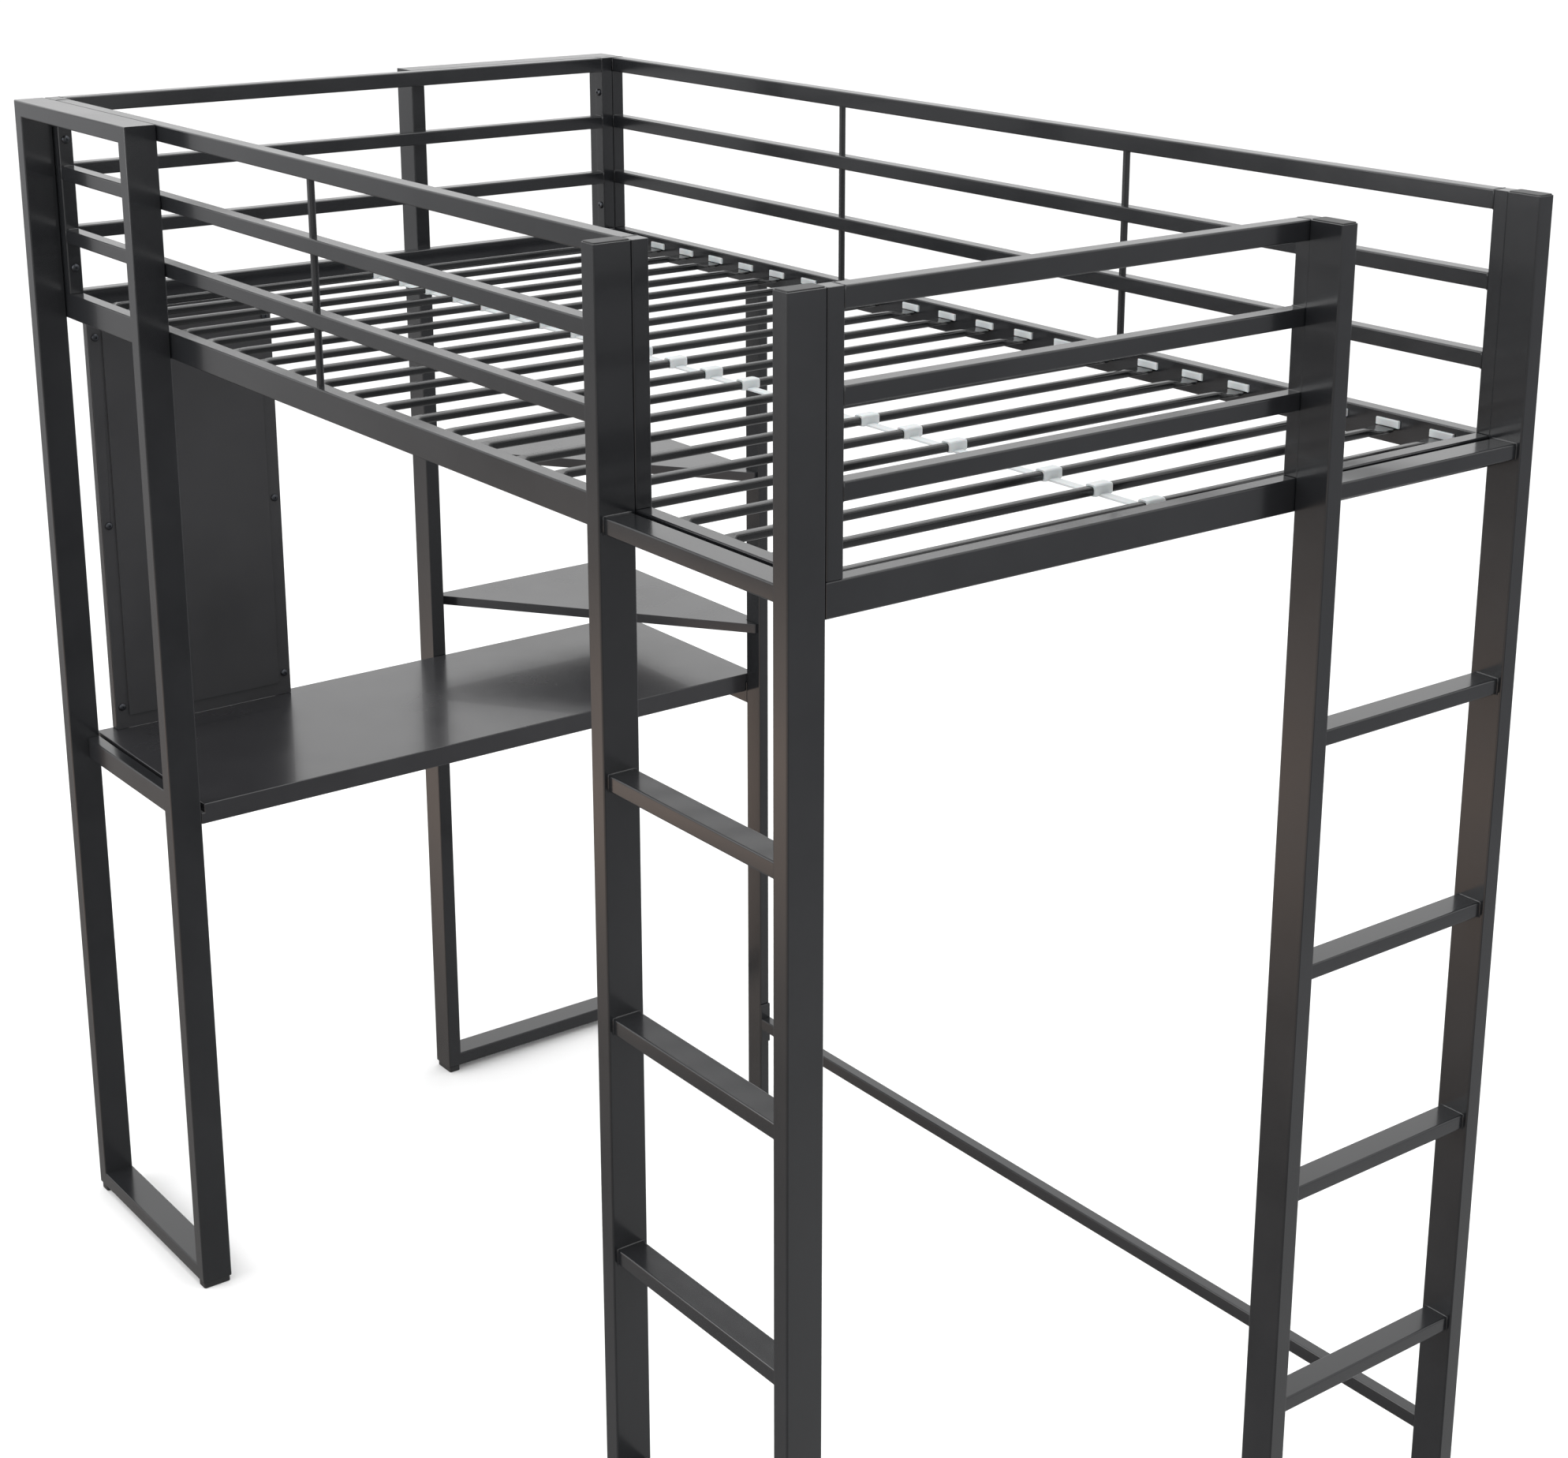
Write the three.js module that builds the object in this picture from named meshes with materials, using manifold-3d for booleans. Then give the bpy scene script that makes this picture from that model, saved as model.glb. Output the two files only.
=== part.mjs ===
// Loft bed with desk, a twin-size steel bed on tall tube frames.
// X runs along the mattress, from the desk end (-X) to the ladder end (+X).
// Y runs across it, from the front (-Y) to the back (+Y). Z is up.
// The origin is the bottom centre of the bounding box. All sizes are in millimetres.

import * as THREE from "three";
import { mergeVertices } from "three/addons/utils/BufferGeometryUtils.js";
import Module from "manifold-3d";

const wasm = await Module();
wasm.setup();

// ---- Driving dimensions ----

const seam = 0.3; // gap between two pieces that are bolted face to face

// The clear space that holds the mattress.
const mattressLength = 1906;
const mattressWidth = 998;

// Heights above the floor.
const overallHeight = 1842;
const guardHeight = 297.5; // from the top of the deck rails to the top of the guard rails
const deskHeight = 815.5; // top of the desk
const lowerShelfHeight = 914;
const upperShelfHeight = 1183;

// Welded guard panels: every tube is as deep as panelTube.
const panelTube = 22;
const deckRailHeight = 39.5;
const topRailHeight = 24;
const midRailHeight = 21;
const midRailCount = 2;
const guardRailGap = 76; // open space under the top rail and under each mid rail
const spindleDiameter = 10;
const spindleSides = 24;
const spindleWeld = 5; // how far a spindle goes into the rails it is welded to
const frontSpindleFromEnd = 828; // from the desk end of the front panel
const backSpindleCount = 2;

// Leg frames: flat tube, wide across the side it stands on.
const postWide = 48.5;
const postThin = 25;
const closingTubeHeight = 24.5; // top and bottom tubes of the closed frames
const deskFrameWidth = 407; // outside width of the two closed frames at the desk
const footHeight = 10.5;
const footLip = 2; // how far a foot stands in from the tube's edge
const tubeWall = 1.5;

// Ladders.
const ladderWidth = 365;
const rungDepth = 36;
const rungHeight = 20;
const rungPitch = 298.7;
const rungCount = 4;
const deckStepDrop = 1; // the top step is this far below the deck rails

// Desk.
const deskDepthReveal = 1; // the desk stops this far behind the front frame's outer post
const deskEndReveal = 5.5; // the desk's front end stands in from the side rail's face
const deskBackReveal = 2;
const deskSlab = 15;
const deskLipHeight = 32;
const deskLip = 14;
const deskRailHeight = 38; // the rail under the back end of the desk
const deskCrossHeight = 35; // the cross tube between the posts of the front desk frame
const deskCrossDepth = 20;
const deskLegWide = 38;
const deskLegThin = 19;

// Long stretcher at the back.
const stretcherTop = 173;
const stretcherHeight = 21;
const endPlateThick = 3;
const endPlateHeight = 74;

// Corner shelves, folded from sheet.
const shelfEdge = 16;
const sheet = 1.5;
const shelfOuterReveal = 1.5; // from the outer face of the frame
const shelfTipLength = 31; // how far the tip laps along the desk leg
const shelfTipWidth = 4;

// Board behind the desk.
const boardFromFront = 33; // from the front panel's outer face
const boardWidth = 313;
const boardFlange = 22;
const boardBarDepth = 18;
const boardRaise = 3;
const boardBoltInset = 37.5;
const boardBoltRows = 3;

// Slats.
const slatCount = 22;
const slatFromEnd = 50; // from the end panels to the middle of the first and last slats
const slatWidth = 12;
const slatThick = 11;
const slatDrop = 15.2; // top of the slats below the top of the deck rails
const bladeWidth = 32; // each end of a slat is pressed flat and wide
const bladeThick = 4;
const bladeLength = 42;
const saddleLength = 28;
const saddleWall = 2.6;
const saddleTop = 2.4;
const saddleDepth = 15; // from the top of a saddle to the bottom of its legs
const strapWidth = 14;
const strapThick = 3;

// Bolts.
const boltDiameter = 6;
const boltHole = 6.8;
const boltHead = 12;
const boltHeadHeight = 3;
const boltSides = 12;
const cornerBoltDrops = [60, 257]; // below the top of the guard rails

// ---- Derived places ----

const length = mattressLength + 2 * panelTube + 2 * (postWide + seam);
const width = mattressWidth + 2 * panelTube + postWide + seam;
const xEnd = length / 2;
const yEnd = width / 2;

const deckTop = overallHeight - guardHeight;
const deckBottom = deckTop - deckRailHeight;

// Outer and inner faces of the guard panels.
const panelX = mattressLength / 2 + panelTube;
const innerX = mattressLength / 2;
const frontFace = -yEnd + postWide + seam;
const frontInner = frontFace + panelTube;
const backFace = yEnd;
const backInner = backFace - panelTube;

const frameInnerX = -panelX + deskFrameWidth; // outer face of the post at the desk's open side
const ladderStartX = panelX - ladderWidth;
const ladderStartY = backFace - ladderWidth;
const cornerFrameStartY = backFace - deskFrameWidth;

const black = { color: 0x26282a, roughness: 0.28, metalness: 0.35 };
const boardPaint = { color: 0x333435, roughness: 0.45, metalness: 0.2 };
const deskPaint = { color: 0x2a2b2d, roughness: 0.22, metalness: 0.2 };
const slatPaint = { color: 0x303234, roughness: 0.4, metalness: 0.4 };
const clipPlastic = { color: 0xdfe3e5, roughness: 0.5, metalness: 0 };
const footPlastic = { color: 0x1c1d1e, roughness: 0.6, metalness: 0 };
const boltZinc = { color: 0x3a3c3e, roughness: 0.35, metalness: 0.8 };

// ---- Helpers ----

function solidFrom(geometry) {
  const bare = geometry.index ? geometry.toNonIndexed() : geometry.clone();
  const placed = new THREE.BufferGeometry();
  placed.setAttribute("position", bare.getAttribute("position"));
  const merged = mergeVertices(placed, 1e-4);
  return new wasm.Manifold(
    new wasm.Mesh({
      numProp: 3,
      vertProperties: new Float32Array(merged.attributes.position.array),
      triVerts: new Uint32Array(merged.index.array),
    }),
  );
}

function geometryFrom(solid) {
  const mesh = solid.getMesh();
  const geometry = new THREE.BufferGeometry();
  geometry.setAttribute("position", new THREE.BufferAttribute(mesh.vertProperties, 3));
  geometry.setIndex(new THREE.BufferAttribute(mesh.triVerts, 1));
  const faceted = geometry.toNonIndexed();
  faceted.computeVertexNormals();
  return faceted;
}

// A box from its lowest to its highest corner. The corners are written in directly,
// so two tubes that end at the same place stay exactly flush.
function box(x0, y0, z0, x1, y1, z1) {
  const geometry = new THREE.BoxGeometry();
  const corner = geometry.getAttribute("position");
  for (let i = 0; i < corner.count; i++) {
    const x = corner.getX(i) < 0 ? x0 : x1;
    const y = corner.getY(i) < 0 ? y0 : y1;
    const z = corner.getZ(i) < 0 ? z0 : z1;
    corner.setXYZ(i, x, y, z);
  }
  return solidFrom(geometry);
}

// A cylinder along X or Y, from its start along the axis in the given direction.
function rod(axis, start, direction, rodLength, diameter) {
  const geometry = new THREE.CylinderGeometry(diameter / 2, diameter / 2, rodLength, boltSides);
  if (axis === "x") geometry.rotateZ(Math.PI / 2);
  const [x, y, z] = start;
  const half = (direction * rodLength) / 2;
  geometry.translate(x + (axis === "x" ? half : 0), y + (axis === "y" ? half : 0), z);
  return solidFrom(geometry);
}

const joined = (solids) => solids.reduce((sum, next) => sum.add(next));
const drilled = (solid, holes) => holes.reduce((rest, hole) => rest.subtract(hole), solid);

// Moves each corner of an anticlockwise outline inwards by the same distance from both its sides.
function inset(points, distance) {
  return points.map((point, i) => {
    const before = points[(i + points.length - 1) % points.length];
    const after = points[(i + 1) % points.length];
    const along = point.clone().sub(before).normalize();
    const onward = after.clone().sub(point).normalize();
    const inA = new THREE.Vector2(-along.y, along.x);
    const inB = new THREE.Vector2(-onward.y, onward.x);
    const mitre = inA.clone().add(inB);
    return point.clone().addScaledVector(mitre, distance / (1 + inA.dot(inB)));
  });
}

// A flat plate from an outline, between two heights.
function plate(points, z0, z1) {
  const geometry = new THREE.ExtrudeGeometry(new THREE.Shape(points), {
    depth: z1 - z0,
    bevelEnabled: false,
  });
  geometry.translate(0, 0, z0);
  return solidFrom(geometry);
}

const bed = new THREE.Group();

function addPiece(name, solid, finish) {
  const piece = new THREE.Mesh(geometryFrom(solid), new THREE.MeshStandardMaterial(finish));
  piece.name = name;
  bed.add(piece);
}

// ---- Bolts ----

// Each bolt is a head against a face and a shank that goes into the pieces behind it.
const boltHoles = { frontPanel: [], deskEndPanel: [], backPanel: [], board: [], boardBars: [] };

function addBolt(name, axis, face, direction, reach, holeLists) {
  const headStart = face.map((value, i) => (i === (axis === "x" ? 0 : 1) ? value - direction * seam : value));
  const head = rod(axis, headStart, -direction, boltHeadHeight, boltHead);
  const shank = rod(axis, headStart, direction, reach, boltDiameter);
  const overlap = rod(axis, headStart, -direction, boltHeadHeight / 2, boltDiameter);
  addPiece(name, joined([head, overlap, shank]), boltZinc);
  for (const holes of holeLists) {
    holes.push(rod(axis, headStart, direction, reach + 1, boltHole));
  }
}

// ---- Guard panels ----

// Heights of the guard rails, as [bottom, top], from the top rail down.
function guardRails() {
  const rails = [[overallHeight - topRailHeight, overallHeight]];
  for (let i = 0; i < midRailCount; i++) {
    const top = rails[i][0] - guardRailGap;
    rails.push([top - midRailHeight, top]);
  }
  return rails;
}

// A round spindle is welded in between the deck rail and the top rail.
function guardSpindle(x, y) {
  const bottom = deckTop - spindleWeld;
  const top = overallHeight - topRailHeight + spindleWeld;
  const geometry = new THREE.CylinderGeometry(spindleDiameter / 2, spindleDiameter / 2, top - bottom, spindleSides);
  geometry.rotateX(Math.PI / 2);
  geometry.translate(x, y, (bottom + top) / 2);
  return solidFrom(geometry);
}

function frontPanel() {
  const start = -innerX + seam;
  const end = innerX - seam;
  const guardEnd = ladderStartX + postThin;
  const tubes = [box(start, frontFace, deckBottom, end, frontInner, deckTop)];
  for (const [bottom, top] of guardRails()) {
    tubes.push(box(start, frontFace, bottom, guardEnd, frontInner, top));
  }
  for (const x of [start, guardEnd - panelTube]) {
    tubes.push(box(x, frontFace, deckBottom, x + panelTube, frontInner, overallHeight));
  }
  const spindle = start + frontSpindleFromEnd;
  tubes.push(guardSpindle(spindle, frontFace + panelTube / 2));
  return drilled(joined(tubes), boltHoles.frontPanel);
}

function backPanel() {
  const tubes = [box(-panelX, backInner, deckBottom, panelX, backFace, deckTop)];
  for (const [bottom, top] of guardRails()) {
    tubes.push(box(-panelX, backInner, bottom, panelX, backFace, top));
  }
  for (const x of [-panelX, panelX - panelTube]) {
    tubes.push(box(x, backInner, deckBottom, x + panelTube, backFace, overallHeight));
  }
  for (let i = 1; i <= backSpindleCount; i++) {
    const middle = -innerX + (i * mattressLength) / (backSpindleCount + 1);
    tubes.push(guardSpindle(middle, backFace - panelTube / 2));
  }
  return drilled(joined(tubes), boltHoles.backPanel);
}

// An end panel runs from the front panel's outer face to the back panel's inner face.
function endPanel(side, guardEnd, uprights) {
  const x0 = side < 0 ? -panelX : innerX;
  const x1 = x0 + panelTube;
  const start = frontFace;
  const end = backInner - seam;
  const tubes = [box(x0, start, deckBottom, x1, end, deckTop)];
  for (const [bottom, top] of guardRails()) {
    tubes.push(box(x0, start, bottom, x1, guardEnd, top));
  }
  for (const y of uprights) {
    tubes.push(box(x0, y, deckBottom, x1, y + panelTube, overallHeight));
  }
  return joined(tubes);
}

function deskEndPanel() {
  const end = backInner - seam;
  const panel = endPanel(-1, end, [frontFace, end - panelTube]);
  return drilled(panel, boltHoles.deskEndPanel);
}

function ladderEndPanel() {
  const guardEnd = ladderStartY + postThin;
  return endPanel(1, guardEnd, [frontFace, guardEnd - panelTube]);
}

// ---- Leg frames ----

// A frame in its own plane: u runs along its width from 0, v runs through its depth from 0.
// place turns a box in u, v and z into a box in the bed's frame.
function closedFrame(place) {
  const z0 = footHeight;
  const z1 = overallHeight;
  return joined([
    place(0, 0, z0, postThin, postWide, z1),
    place(deskFrameWidth - postThin, 0, z0, deskFrameWidth, postWide, z1),
    place(0, 0, z1 - closingTubeHeight, deskFrameWidth, postWide, z1),
    place(0, 0, z0, deskFrameWidth, postWide, z0 + closingTubeHeight),
  ]);
}

// Tops of the ladder's cross tubes, from the deck down.
function stepTops() {
  const first = deckTop - deckStepDrop;
  return Array.from({ length: rungCount + 1 }, (_, i) => first - i * rungPitch);
}

function ladder(place) {
  const inFromFace = (postWide - rungDepth) / 2;
  const tubes = [
    place(0, 0, footHeight, postThin, postWide, overallHeight),
    place(ladderWidth - postThin, 0, footHeight, ladderWidth, postWide, overallHeight),
  ];
  for (const top of stepTops()) {
    tubes.push(place(postThin / 2, inFromFace, top - rungHeight, ladderWidth - postThin / 2, postWide - inFromFace, top));
  }
  return joined(tubes);
}

// Frames on the front run along X; frames on the ends run along Y.
const alongX = (x, y) => (u0, v0, z0, u1, v1, z1) => box(x + u0, y + v0, z0, x + u1, y + v1, z1);
const alongY = (x, y) => (u0, v0, z0, u1, v1, z1) => box(x + v0, y + u0, z0, x + v1, y + u1, z1);

// A foot fills the end of a tube: a plug inside the tube's outline under the post.
function foot(x0, y0, x1, y1) {
  return box(x0 + footLip, y0 + footLip, 0, x1 - footLip, y1 - footLip, footHeight - seam);
}

// ---- Desk ----

const railTop = deskHeight - deskSlab - seam;
const railBottom = railTop - deskRailHeight;
const deskFrontX = frameInnerX - deskDepthReveal;
const deskBackX = -panelX + seam;
const deskLegX = frameInnerX + seam;
const deskLegY = backFace - deskLegThin;
const backRailEndX = frameInnerX;
const crossX0 = -panelX + postThin + seam;
const crossX1 = frameInnerX - postThin - seam;
const crossY1 = frontFace - seam;
const crossY0 = crossY1 - deskCrossDepth;

function deskTop() {
  const y0 = frontFace + deskEndReveal;
  const y1 = backFace - deskBackReveal;
  const flangeY0 = frontFace; // the end flange is bolted to the back of the cross tube
  const lipY0 = flangeY0 + deskLip - 1;
  const lipY1 = deskLegY - seam;
  const lipBottom = deskHeight - deskLipHeight;
  const slabBottom = deskHeight - deskSlab;
  return joined([
    box(deskBackX, y0, slabBottom, deskFrontX, y1, deskHeight),
    box(deskBackX, flangeY0, lipBottom, deskFrontX, flangeY0 + deskLip, slabBottom + 1),
    box(deskBackX, lipY0, lipBottom, deskBackX + deskLip, lipY1, slabBottom + 1),
    box(deskFrontX - deskLip, lipY0, lipBottom, deskFrontX, lipY1, slabBottom + 1),
  ]);
}

// A corner shelf laps onto the post of the corner frame at one tip and the desk leg at the other.
function cornerShelf(top) {
  const outerX = -xEnd + shelfOuterReveal;
  const postY = cornerFrameStartY + postThin + seam; // the near post's inner face
  const cornerPostY = backFace - postThin - seam; // the corner post's inner face
  const cornerPostX = -panelX + seam;
  const outerY = backFace - deskBackReveal;
  const legY = deskLegY - seam;
  const tipX = deskLegX + shelfTipLength;
  const outline = [
    [outerX, postY],
    [tipX, legY - shelfTipWidth],
    [tipX, legY],
    [deskLegX - 2 * seam, legY],
    [deskLegX - 2 * seam, outerY],
    [cornerPostX, outerY],
    [cornerPostX, cornerPostY],
    [outerX, cornerPostY],
  ].map(([x, y]) => new THREE.Vector2(x, y));
  const body = plate(outline, top - shelfEdge, top);
  const pocket = plate(pocketOutline(outline), top - shelfEdge - 1, top - sheet);
  return body.subtract(pocket);
}

// The open underside of a shelf leaves its rim and skips the narrow tip at the desk leg.
function pocketOutline(outline) {
  const rim = inset(outline, sheet);
  const [start, , , beside, ...rest] = rim;
  const slope = (outline[1].y - outline[0].y) / (outline[1].x - outline[0].x);
  const onEdge = start.y + slope * (beside.x - sheet - start.x);
  const cut = beside.x - sheet;
  const others = rest.map((point) => new THREE.Vector2(Math.min(point.x, cut), point.y));
  return [start, new THREE.Vector2(cut, onEdge), ...others];
}

function stretcher(x0, x1) {
  const y0 = deskLegY;
  const y1 = backFace;
  const middle = stretcherTop - stretcherHeight / 2;
  const plateBottom = middle - endPlateHeight / 2;
  const plateTop = middle + endPlateHeight / 2;
  return joined([
    box(x0 + 1, y0, stretcherTop - stretcherHeight, x1 - 1, y1, stretcherTop),
    box(x0, y0, plateBottom, x0 + endPlateThick, y1, plateTop),
    box(x1 - endPlateThick, y0, plateBottom, x1, y1, plateTop),
  ]);
}

// ---- Board behind the desk ----

const boardY0 = frontFace + boardFromFront;
const boardY1 = boardY0 + boardWidth;
const boardZ0 = deskHeight + seam;
const boardZ1 = deckBottom - seam;
const boardBackX = -panelX + seam + boardBarDepth + seam;

function boardBar(y0) {
  return box(-panelX + seam, y0, boardZ0, -panelX + seam + boardBarDepth, y0 + boardFlange, boardZ1);
}

function board() {
  const flat = box(boardBackX, boardY0, boardZ0, boardBackX + sheet, boardY1, boardZ1);
  const raised = box(
    boardBackX,
    boardY0 + boardFlange,
    boardZ0 + boardFlange,
    boardBackX + sheet + boardRaise,
    boardY1 - boardFlange,
    boardZ1 - boardFlange,
  );
  const hollow = box(
    boardBackX - 1,
    boardY0 + boardFlange + sheet,
    boardZ0 + boardFlange + sheet,
    boardBackX + boardRaise,
    boardY1 - boardFlange - sheet,
    boardZ1 - boardFlange - sheet,
  );
  return flat.add(raised).subtract(hollow);
}

// ---- Slats ----

const slatTop = deckTop - slatDrop;
const slatBottom = slatTop - slatThick;
const slatPitch = (mattressLength - 2 * slatFromEnd) / (slatCount - 1);
const slatX = (i) => slatPitch * (i - (slatCount - 1) / 2);
const centreY = (frontInner + backInner) / 2;

function slat(x) {
  const y0 = frontInner + seam;
  const y1 = backInner - seam;
  const bladeBottom = (slatBottom + slatTop - bladeThick) / 2;
  const bladeTop = bladeBottom + bladeThick;
  const half = bladeWidth / 2;
  const weld = 1; // the round part starts just inside the flat end
  return joined([
    box(x - slatWidth / 2, y0 + bladeLength - weld, slatBottom, x + slatWidth / 2, y1 - bladeLength + weld, slatTop),
    box(x - half, y0, bladeBottom, x + half, y0 + bladeLength, bladeTop),
    box(x - half, y1 - bladeLength, bladeBottom, x + half, y1, bladeTop),
  ]);
}

// The strap and its saddles are one moulding. A saddle clips over each slat at mid-width,
// and the strap between the saddles holds the slats apart.
function centreStrap() {
  const y0 = centreY - saddleLength / 2;
  const y1 = centreY + saddleLength / 2;
  const crown = slatTop + seam + saddleTop;
  const legs = crown - saddleDepth;
  const reach = slatWidth / 2 + seam;
  const outer = reach + saddleWall;
  const pieces = [];
  for (let i = 0; i < slatCount; i++) {
    const x = slatX(i);
    pieces.push(box(x - outer, y0, slatTop + seam, x + outer, y1, crown));
    for (const wall of [x - outer, x + reach]) {
      pieces.push(box(wall, y0, legs, wall + saddleWall, y1, slatTop + seam + 1));
    }
    if (i < slatCount - 1) {
      const start = x + outer - 1;
      const end = slatX(i + 1) - outer + 1;
      pieces.push(box(start, centreY - strapWidth / 2, legs, end, centreY + strapWidth / 2, legs + strapThick));
    }
  }
  return joined(pieces);
}

// ---- Assembly ----

for (const [i, drop] of cornerBoltDrops.entries()) {
  const z = overallHeight - drop;
  const frontCorner = [-innerX + seam + panelTube, frontFace + panelTube / 2, z];
  addBolt(`corner_bolt_front_${i + 1}`, "x", frontCorner, -1, panelTube + 12, [
    boltHoles.frontPanel,
    boltHoles.deskEndPanel,
  ]);
  const backCorner = [-panelX + panelTube / 2, backInner - seam - panelTube, z];
  addBolt(`corner_bolt_back_${i + 1}`, "y", backCorner, 1, panelTube + 12, [
    boltHoles.deskEndPanel,
    boltHoles.backPanel,
  ]);
}

for (let row = 0; row < boardBoltRows; row++) {
  const low = boardZ0 + boardBoltInset;
  const high = boardZ1 - boardBoltInset;
  const z = low + (row * (high - low)) / (boardBoltRows - 1);
  const sides = [
    ["front", boardY0 + boardFlange / 2],
    ["back", boardY1 - boardFlange / 2],
  ];
  for (const [side, y] of sides) {
    const face = [boardBackX + sheet, y, z];
    addBolt(`board_bolt_${side}_${row + 1}`, "x", face, -1, sheet + 8, [
      boltHoles.board,
      boltHoles.boardBars,
    ]);
  }
}

addPiece("front_guard_panel", frontPanel(), black);
addPiece("back_guard_panel", backPanel(), black);
addPiece("desk_end_panel", deskEndPanel(), black);
addPiece("ladder_end_panel", ladderEndPanel(), black);

addPiece("front_desk_frame", closedFrame(alongX(-panelX, -yEnd)), black);
addPiece("corner_desk_frame", closedFrame(alongY(-xEnd, cornerFrameStartY)), black);
addPiece("front_ladder", ladder(alongX(ladderStartX, -yEnd)), black);
addPiece("end_ladder", ladder(alongY(xEnd - postWide, ladderStartY)), black);

const deskLegX1 = deskLegX + deskLegWide;
addPiece("desk_leg", box(deskLegX, deskLegY, footHeight, deskLegX1, backFace, deckBottom - seam), black);
addPiece("desk_rail_front", box(crossX0, crossY0, deskHeight - deskCrossHeight, crossX1, crossY1, deskHeight), black);
addPiece("desk_rail_back", box(-panelX + seam, deskLegY, railBottom, backRailEndX, backFace, railTop), black);
addPiece("long_stretcher", stretcher(deskLegX1 + seam, panelX), black);

addPiece("desk_top", deskTop(), deskPaint);
addPiece("lower_corner_shelf", cornerShelf(lowerShelfHeight), deskPaint);
addPiece("upper_corner_shelf", cornerShelf(upperShelfHeight), deskPaint);

addPiece("desk_back_board", drilled(board(), boltHoles.board), boardPaint);
addPiece("board_bar_front", drilled(boardBar(boardY0), boltHoles.boardBars), black);
addPiece("board_bar_back", drilled(boardBar(boardY1 - boardFlange), boltHoles.boardBars), black);

for (let i = 0; i < slatCount; i++) {
  addPiece(`slat_${String(i + 1).padStart(2, "0")}`, slat(slatX(i)), slatPaint);
}
addPiece("slat_centre_strap", centreStrap(), clipPlastic);

const frontY1 = -yEnd + postWide;
const feet = {
  foot_front_desk_outer: [-panelX, -yEnd, -panelX + postThin, frontY1],
  foot_front_desk_inner: [frameInnerX - postThin, -yEnd, frameInnerX, frontY1],
  foot_front_ladder_inner: [ladderStartX, -yEnd, ladderStartX + postThin, frontY1],
  foot_front_ladder_outer: [panelX - postThin, -yEnd, panelX, frontY1],
  foot_corner_frame_inner: [-xEnd, cornerFrameStartY, -xEnd + postWide, cornerFrameStartY + postThin],
  foot_corner_frame_outer: [-xEnd, backFace - postThin, -xEnd + postWide, backFace],
  foot_end_ladder_inner: [xEnd - postWide, ladderStartY, xEnd, ladderStartY + postThin],
  foot_end_ladder_outer: [xEnd - postWide, backFace - postThin, xEnd, backFace],
  foot_desk_leg: [deskLegX, deskLegY, deskLegX1, backFace],
};
for (const [name, outline] of Object.entries(feet)) {
  addPiece(name, foot(...outline), footPlastic);
}

export default bed;
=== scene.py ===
"""Loft bed with desk: builds the finished look of a tall steel loft bed around its fixed frame of solids.

Lengths are in metres. +X runs along the mattress to the ladder end, +Y across to the back, +Z is up.
"""

import math

import bmesh
import bpy
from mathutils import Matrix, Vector


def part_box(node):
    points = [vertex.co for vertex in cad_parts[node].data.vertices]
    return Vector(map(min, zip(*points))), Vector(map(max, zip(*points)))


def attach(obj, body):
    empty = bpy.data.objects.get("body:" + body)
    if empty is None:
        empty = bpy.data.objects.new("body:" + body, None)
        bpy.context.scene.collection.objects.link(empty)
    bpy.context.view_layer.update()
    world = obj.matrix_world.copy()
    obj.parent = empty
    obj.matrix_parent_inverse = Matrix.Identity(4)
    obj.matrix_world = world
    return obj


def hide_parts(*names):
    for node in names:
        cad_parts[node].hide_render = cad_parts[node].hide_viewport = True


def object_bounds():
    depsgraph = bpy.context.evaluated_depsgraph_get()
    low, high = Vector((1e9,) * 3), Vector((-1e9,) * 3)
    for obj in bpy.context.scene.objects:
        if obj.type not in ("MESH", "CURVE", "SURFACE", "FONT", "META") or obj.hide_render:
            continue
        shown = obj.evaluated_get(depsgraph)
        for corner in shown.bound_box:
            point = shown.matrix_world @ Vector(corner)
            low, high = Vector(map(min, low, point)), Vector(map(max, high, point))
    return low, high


bl_info = {
    "name": "Loft Bed with Desk",
    "version": (1, 0, 0),
    "blender": (4, 5, 0),
    "location": "3D View > Sidebar > Loft Bed",
    "description": "Builds a tall steel loft bed with guard rails, two ladders, a desk and corner shelves",
    "category": "Add Mesh",
}

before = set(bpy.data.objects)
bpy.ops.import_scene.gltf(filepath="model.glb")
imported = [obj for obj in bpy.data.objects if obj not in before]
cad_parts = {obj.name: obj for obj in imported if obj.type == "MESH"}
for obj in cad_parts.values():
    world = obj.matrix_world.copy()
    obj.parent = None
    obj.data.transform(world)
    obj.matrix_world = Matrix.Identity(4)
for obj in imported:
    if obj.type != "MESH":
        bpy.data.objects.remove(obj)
SOLID_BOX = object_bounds()

MM = 0.001

SLAT_NODES = sorted(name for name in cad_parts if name.startswith("slat_") and name[5:].isdigit())
FOOT_NODES = sorted(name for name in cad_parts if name.startswith("foot_"))
BOLT_NODES = sorted(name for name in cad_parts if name.startswith(("corner_bolt_", "board_bolt_")))


# ---- Colour ----


def colour(hex_code):
    """An sRGB hex colour as linear RGBA."""
    channels = [int(hex_code[i : i + 2], 16) / 255 for i in (1, 3, 5)]
    linear = [c / 12.92 if c <= 0.04045 else ((c + 0.055) / 1.055) ** 2.4 for c in channels]
    return (*linear, 1.0)


# ---- Settings a user would change ----


def size_setting(label, description, default):
    return bpy.props.FloatProperty(
        name=label, description=description, default=default, unit="LENGTH", subtype="DISTANCE"
    )


def colour_setting(label, description, hex_code):
    return bpy.props.FloatVectorProperty(
        name=label, description=description, size=4, subtype="COLOR", min=0, max=1, default=colour(hex_code)
    )


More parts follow.
